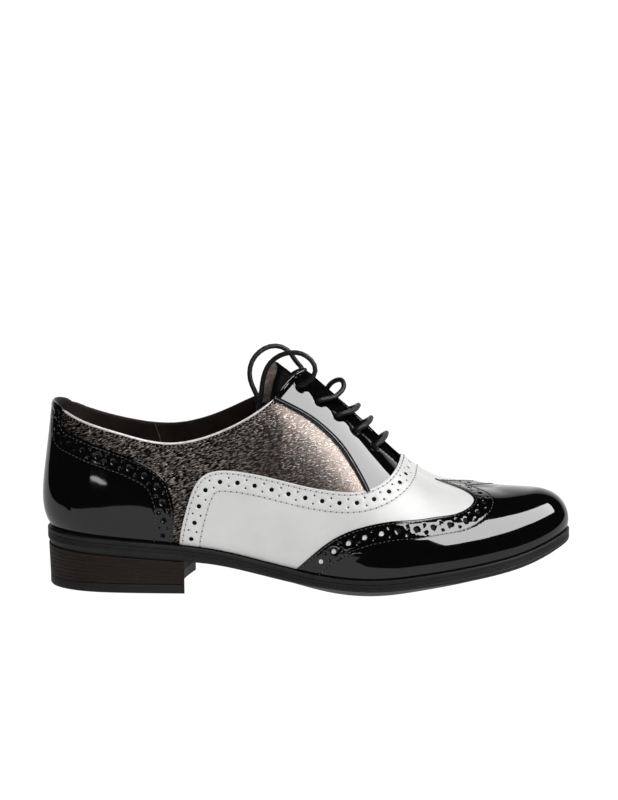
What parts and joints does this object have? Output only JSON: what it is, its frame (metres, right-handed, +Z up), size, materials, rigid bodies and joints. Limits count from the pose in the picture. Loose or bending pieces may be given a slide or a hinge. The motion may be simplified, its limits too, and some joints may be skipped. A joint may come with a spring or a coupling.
{
  "type": "lace-up brogue shoe",
  "caption": "Low-heeled wing-tip brogue for the right foot in black patent, white and pewter leather, with closed lacing, punched edges and a stacked heel.",
  "frame": {"origin": "middle of the shoe's box at floor level", "axes": "+X towards the toe, +Y towards the inner side of the foot, +Z up"},
  "size_m": [0.2746, 0.0913, 0.1248],
  "materials": {
    "patent": "gloss patent",
    "white": "smooth satin",
    "pewter": "metallic pebbled grain",
    "lining": "matt",
    "rubber": "matt",
    "stack": "polished, fine grain",
    "cord": "waxed"
  },
  "bodies": {
    "root": {"upper": "pewter", "vamp": "white", "toe_cap": "patent", "heel_counter": "patent", "facing_outer": "patent", "facing_inner": "patent", "tongue": "patent", "insole": "lining", "welt": "rubber", "outsole": "rubber", "heel_stack": "stack", "top_lift": "rubber", "lace_bar_1": "cord", "lace_bar_2": "cord", "lace_bar_3": "cord", "lace_bar_4": "cord", "lace_end_outer": "cord", "lace_end_inner": "cord"}
  },
  "joints": []
}
